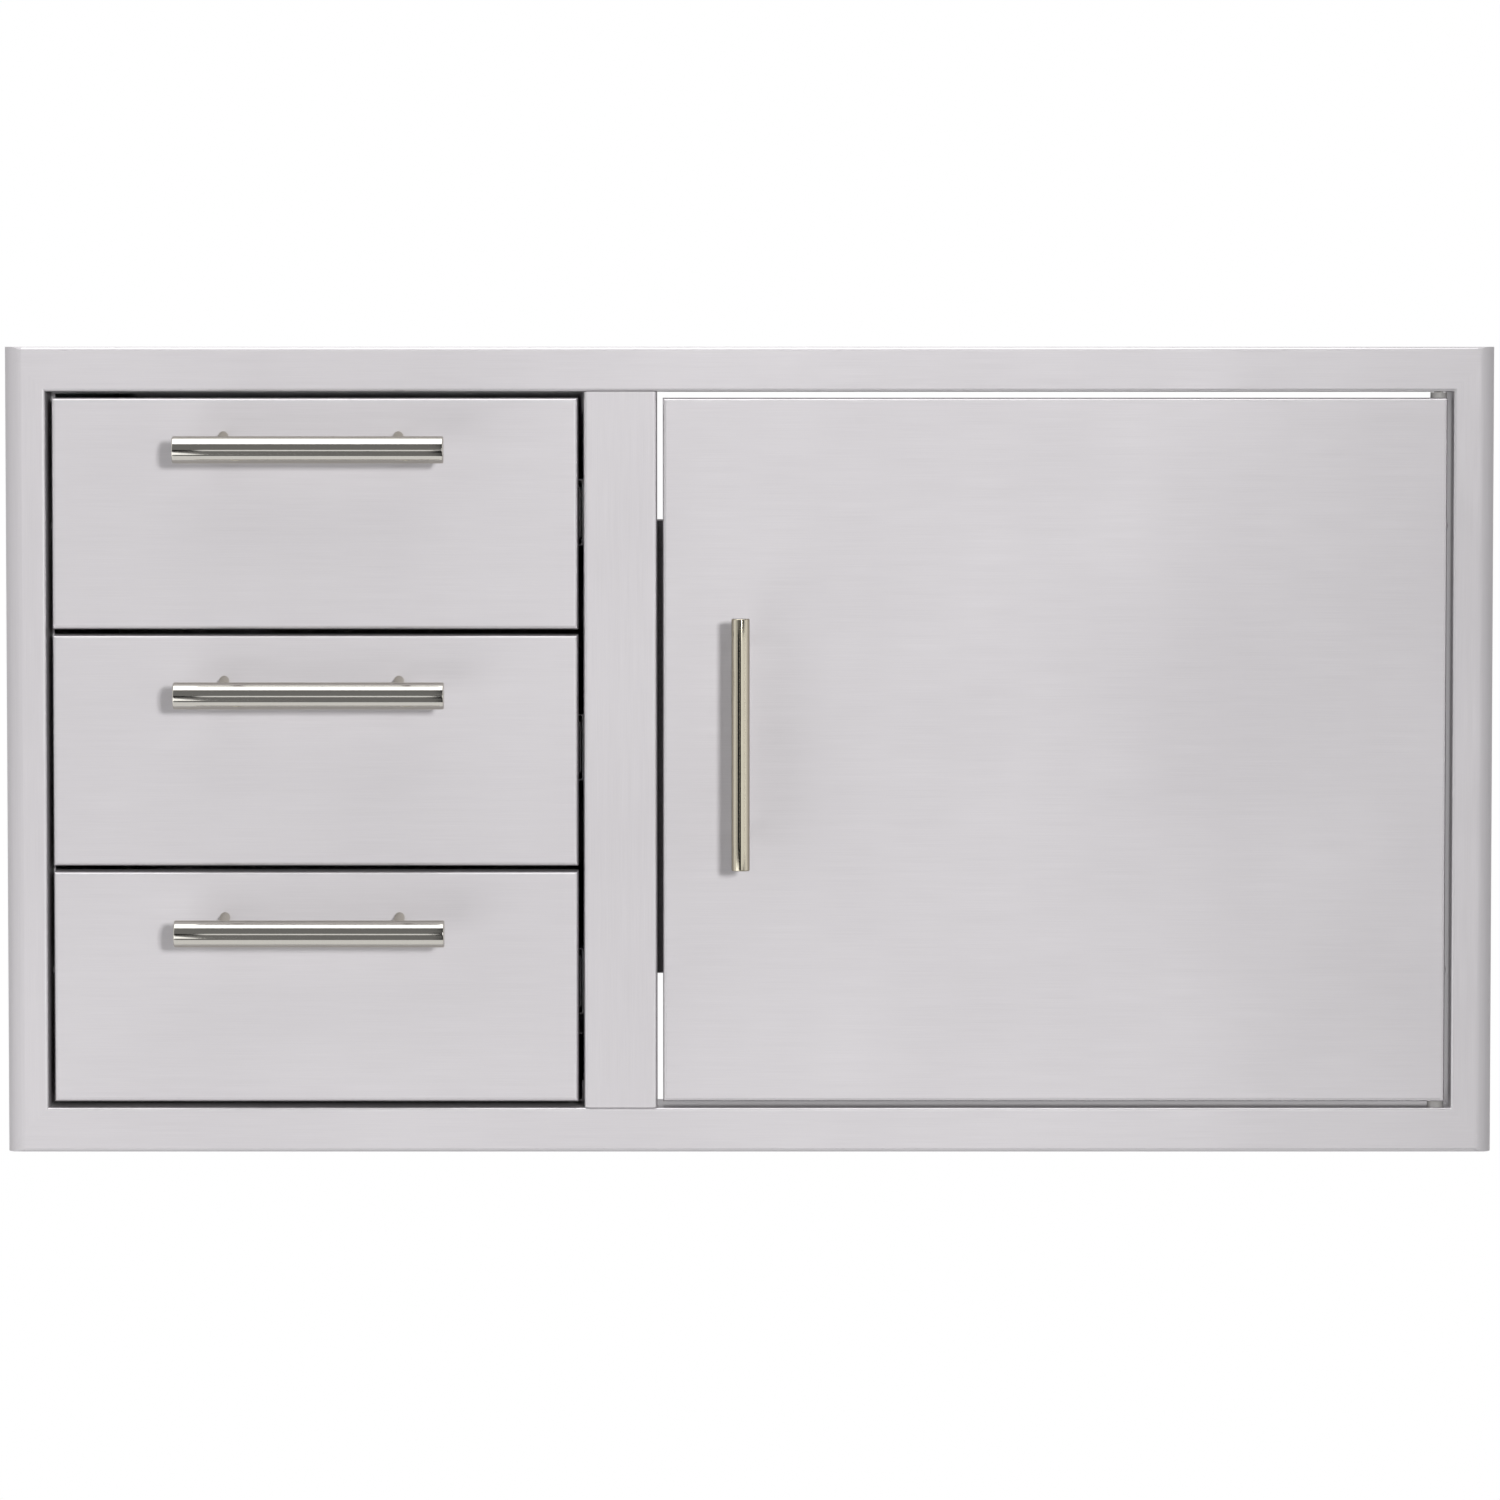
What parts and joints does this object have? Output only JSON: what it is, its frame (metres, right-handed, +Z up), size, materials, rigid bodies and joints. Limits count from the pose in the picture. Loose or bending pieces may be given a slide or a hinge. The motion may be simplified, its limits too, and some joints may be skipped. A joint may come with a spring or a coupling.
{
  "type": "outdoor kitchen door and drawer combo",
  "caption": "Built-in stainless unit for an outdoor kitchen: raised frame, stacked drawers on ball slides with round bar handles, and a pivot-hung access door beside them.",
  "frame": {"origin": "middle of the cut-out, on the face of the island's wall", "axes": "+X to the right seen from the front, +Y into the island, +Z up"},
  "size_m": [0.997, 0.5622, 0.54],
  "materials": {
    "brushed_stainless": "brushed",
    "plain_stainless": "mill",
    "handle_steel": "polished",
    "zinc_steel": "zinc plated",
    "cage_steel": "plain",
    "black_magnet": "matte",
    "nylon": "satin"
  },
  "bodies": {
    "frame": {"face_frame": "brushed_stainless", "center_mullion": "brushed_stainless", "cabinet_left_side": "plain_stainless", "cabinet_right_side": "plain_stainless", "cabinet_roof": "plain_stainless", "cabinet_floor": "plain_stainless", "cabinet_back": "plain_stainless", "door_catch_bracket": "plain_stainless", "door_magnet_strip": "black_magnet", "hinge_plates": "plain_stainless", "hinge_pins": "handle_steel", "drawer_1_slide_outer": "zinc_steel", "drawer_2_slide_outer": "zinc_steel", "drawer_3_slide_outer": "zinc_steel"},
    "door": {"door_skin": "brushed_stainless", "door_liner": "plain_stainless", "door_handle_bar": "handle_steel", "door_handle_posts": "handle_steel", "door_hinge_bushes": "nylon"},
    "drawer_1": {"drawer_1_front_skin": "brushed_stainless", "drawer_1_front_liner": "plain_stainless", "drawer_1_handle_bar": "handle_steel", "drawer_1_handle_posts": "handle_steel", "drawer_1_tray": "plain_stainless", "drawer_1_tray_back": "plain_stainless", "drawer_1_slide_inner": "zinc_steel"},
    "drawer_1_slide_outer_cages_body": {"drawer_1_slide_outer_cages": "cage_steel"},
    "drawer_1_slide_middle_body": {"drawer_1_slide_middle": "zinc_steel"},
    "drawer_1_slide_inner_cages_body": {"drawer_1_slide_inner_cages": "cage_steel"},
    "drawer_2": {"drawer_2_front_skin": "brushed_stainless", "drawer_2_front_liner": "plain_stainless", "drawer_2_handle_bar": "handle_steel", "drawer_2_handle_posts": "handle_steel", "drawer_2_tray": "plain_stainless", "drawer_2_tray_back": "plain_stainless", "drawer_2_slide_inner": "zinc_steel"},
    "drawer_2_slide_outer_cages_body": {"drawer_2_slide_outer_cages": "cage_steel"},
    "drawer_2_slide_middle_body": {"drawer_2_slide_middle": "zinc_steel"},
    "drawer_2_slide_inner_cages_body": {"drawer_2_slide_inner_cages": "cage_steel"},
    "drawer_3": {"drawer_3_front_skin": "brushed_stainless", "drawer_3_front_liner": "plain_stainless", "drawer_3_handle_bar": "handle_steel", "drawer_3_handle_posts": "handle_steel", "drawer_3_tray": "plain_stainless", "drawer_3_tray_back": "plain_stainless", "drawer_3_slide_inner": "zinc_steel"},
    "drawer_3_slide_outer_cages_body": {"drawer_3_slide_outer_cages": "cage_steel"},
    "drawer_3_slide_middle_body": {"drawer_3_slide_middle": "zinc_steel"},
    "drawer_3_slide_inner_cages_body": {"drawer_3_slide_inner_cages": "cage_steel"}
  },
  "joints": [
    {"name": "door_hinge", "type": "hinge", "parent": "frame", "child": "door", "pos_m": [0.461, -0.023, 0], "axis": [0, 0, 1], "range_deg": [0, 105]},
    {"name": "drawer_1_slide", "type": "slide", "parent": "frame", "child": "drawer_1", "axis": [0, -1, 0], "range_m": [0, 0.457]},
    {"name": "drawer_1_slide_outer_cages_travel", "type": "slide", "parent": "frame", "child": "drawer_1_slide_outer_cages_body", "axis": [0, -1, 0], "range_m": [0, 0.11425]},
    {"name": "drawer_1_slide_middle_travel", "type": "slide", "parent": "frame", "child": "drawer_1_slide_middle_body", "axis": [0, -1, 0], "range_m": [0, 0.2285]},
    {"name": "drawer_1_slide_inner_cages_travel", "type": "slide", "parent": "frame", "child": "drawer_1_slide_inner_cages_body", "axis": [0, -1, 0], "range_m": [0, 0.34275]},
    {"name": "drawer_2_slide", "type": "slide", "parent": "frame", "child": "drawer_2", "axis": [0, -1, 0], "range_m": [0, 0.457]},
    {"name": "drawer_2_slide_outer_cages_travel", "type": "slide", "parent": "frame", "child": "drawer_2_slide_outer_cages_body", "axis": [0, -1, 0], "range_m": [0, 0.11425]},
    {"name": "drawer_2_slide_middle_travel", "type": "slide", "parent": "frame", "child": "drawer_2_slide_middle_body", "axis": [0, -1, 0], "range_m": [0, 0.2285]},
    {"name": "drawer_2_slide_inner_cages_travel", "type": "slide", "parent": "frame", "child": "drawer_2_slide_inner_cages_body", "axis": [0, -1, 0], "range_m": [0, 0.34275]},
    {"name": "drawer_3_slide", "type": "slide", "parent": "frame", "child": "drawer_3", "axis": [0, -1, 0], "range_m": [0, 0.457]},
    {"name": "drawer_3_slide_outer_cages_travel", "type": "slide", "parent": "frame", "child": "drawer_3_slide_outer_cages_body", "axis": [0, -1, 0], "range_m": [0, 0.11425]},
    {"name": "drawer_3_slide_middle_travel", "type": "slide", "parent": "frame", "child": "drawer_3_slide_middle_body", "axis": [0, -1, 0], "range_m": [0, 0.2285]},
    {"name": "drawer_3_slide_inner_cages_travel", "type": "slide", "parent": "frame", "child": "drawer_3_slide_inner_cages_body", "axis": [0, -1, 0], "range_m": [0, 0.34275]}
  ],
  "couplings": [
    {"joint": "drawer_1_slide_outer_cages_travel", "follows": "drawer_1_slide", "ratio": 0.25},
    {"joint": "drawer_1_slide_middle_travel", "follows": "drawer_1_slide", "ratio": 0.5},
    {"joint": "drawer_1_slide_inner_cages_travel", "follows": "drawer_1_slide", "ratio": 0.75},
    {"joint": "drawer_2_slide_outer_cages_travel", "follows": "drawer_2_slide", "ratio": 0.25},
    {"joint": "drawer_2_slide_middle_travel", "follows": "drawer_2_slide", "ratio": 0.5},
    {"joint": "drawer_2_slide_inner_cages_travel", "follows": "drawer_2_slide", "ratio": 0.75},
    {"joint": "drawer_3_slide_outer_cages_travel", "follows": "drawer_3_slide", "ratio": 0.25},
    {"joint": "drawer_3_slide_middle_travel", "follows": "drawer_3_slide", "ratio": 0.5},
    {"joint": "drawer_3_slide_inner_cages_travel", "follows": "drawer_3_slide", "ratio": 0.75}
  ]
}
